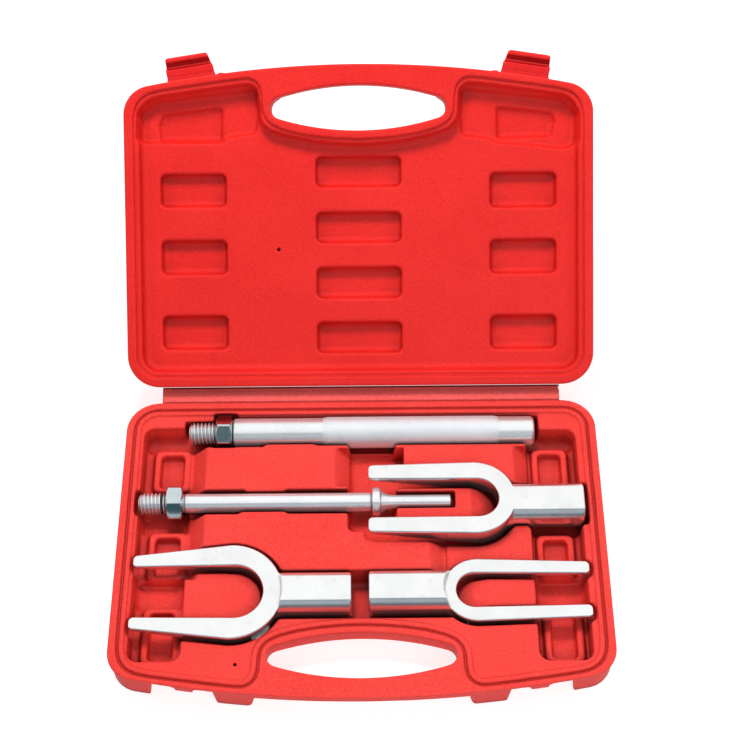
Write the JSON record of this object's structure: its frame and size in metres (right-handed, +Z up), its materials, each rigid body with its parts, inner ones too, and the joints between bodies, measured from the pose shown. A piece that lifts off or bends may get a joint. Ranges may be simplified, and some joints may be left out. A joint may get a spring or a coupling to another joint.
{
  "type": "ball joint separator kit",
  "caption": "Ball joint separator kit: pickle forks, a striking handle with a lock nut and an air hammer adapter, nested in a hinged red moulded case with snap latches.",
  "frame": {"origin": "centre of the case base's flat underside, midway between the rear rim edge and the middle of the bowed front edge", "axes": "+X along the case's width to the viewer's right, +Y from the carrying handle to the hinge, +Z up from the underside; the case lies flat with its lid open 141.7 degrees"},
  "size_m": [0.355, 0.4568, 0.1897],
  "materials": {
    "case_base_plastic": "red moulded polyethylene, satin with a fine grain",
    "hinge_strip_plastic": "red moulded polyethylene, thin and slightly glossy",
    "case_lid_plastic": "red moulded polyethylene, satin with a fine grain",
    "latch_left_plastic": "red moulded plastic, satin",
    "latch_right_plastic": "red moulded plastic, satin",
    "handle_steel": "satin plated steel, knurled grip",
    "handle_nut_steel": "bright plated steel",
    "adapter_steel": "satin plated steel",
    "adapter_nut_steel": "bright plated steel",
    "ring_rubber": "black rubber",
    "ball_joint_fork_steel": "satin plated forged steel",
    "pitman_arm_fork_steel": "satin plated forged steel",
    "tie_rod_fork_steel": "satin plated forged steel"
  },
  "bodies": {
    "case_base": {"case_base": "case_base_plastic"},
    "hinge_strip": {"hinge_strip": "hinge_strip_plastic"},
    "case_lid": {"case_lid": "case_lid_plastic"},
    "latch_left": {"latch_left": "latch_left_plastic"},
    "latch_right": {"latch_right": "latch_right_plastic"},
    "striking_handle": {"striking_handle": "handle_steel"},
    "handle_nut": {"handle_nut": "handle_nut_steel"},
    "air_hammer_adapter": {"air_hammer_adapter": "adapter_steel", "thread_ring": "ring_rubber"},
    "adapter_nut": {"adapter_nut": "adapter_nut_steel"},
    "ball_joint_fork": {"ball_joint_fork": "ball_joint_fork_steel"},
    "pitman_arm_fork": {"pitman_arm_fork": "pitman_arm_fork_steel"},
    "tie_rod_fork": {"tie_rod_fork": "tie_rod_fork_steel"}
  },
  "joints": [
    {"name": "base_fold", "type": "hinge", "parent": "case_base", "child": "hinge_strip", "pos_m": [0, 0.1227, 0.0245], "axis": [-1, 0, 0], "range_deg": [-70.85, 19.15]},
    {"name": "lid_fold", "type": "hinge", "parent": "hinge_strip", "child": "case_lid", "pos_m": [0, 0.13441, 0.02857], "axis": [-1, 0, 0], "range_deg": [-70.85, 19.15]},
    {"name": "latch_left_flap", "type": "hinge", "parent": "case_lid", "child": "latch_left", "pos_m": [-0.126, 0.31595, 0.17754], "axis": [-0.9887, -0.1177, -0.093], "range_deg": [-100, 50]},
    {"name": "latch_right_flap", "type": "hinge", "parent": "case_lid", "child": "latch_right", "pos_m": [0.126, 0.31595, 0.17754], "axis": [-0.9887, 0.1177, 0.093], "range_deg": [-100, 50]},
    {"name": "handle_lift", "type": "slide", "parent": "case_base", "child": "striking_handle", "axis": [0, 0, 1], "range_m": [0, 0.1]},
    {"name": "handle_nut_spin", "type": "hinge", "parent": "striking_handle", "child": "handle_nut", "pos_m": [-0.10325, 0.0965, 0.022], "axis": [1, 0, 0], "continuous": true},
    {"name": "adapter_lift", "type": "slide", "parent": "case_base", "child": "air_hammer_adapter", "axis": [0, 0, 1], "range_m": [0, 0.1]},
    {"name": "adapter_nut_spin", "type": "hinge", "parent": "air_hammer_adapter", "child": "adapter_nut", "pos_m": [-0.13725, 0.0356, 0.022], "axis": [1, 0, 0], "continuous": true},
    {"name": "ball_joint_fork_lift", "type": "slide", "parent": "case_base", "child": "ball_joint_fork", "axis": [0, 0, 1], "range_m": [0, 0.1]},
    {"name": "pitman_arm_fork_lift", "type": "slide", "parent": "case_base", "child": "pitman_arm_fork", "axis": [0, 0, 1], "range_m": [0, 0.1]},
    {"name": "tie_rod_fork_lift", "type": "slide", "parent": "case_base", "child": "tie_rod_fork", "axis": [0, 0, 1], "range_m": [0, 0.1]}
  ],
  "couplings": [
    {"joint": "lid_fold", "follows": "base_fold", "ratio": 1}
  ]
}
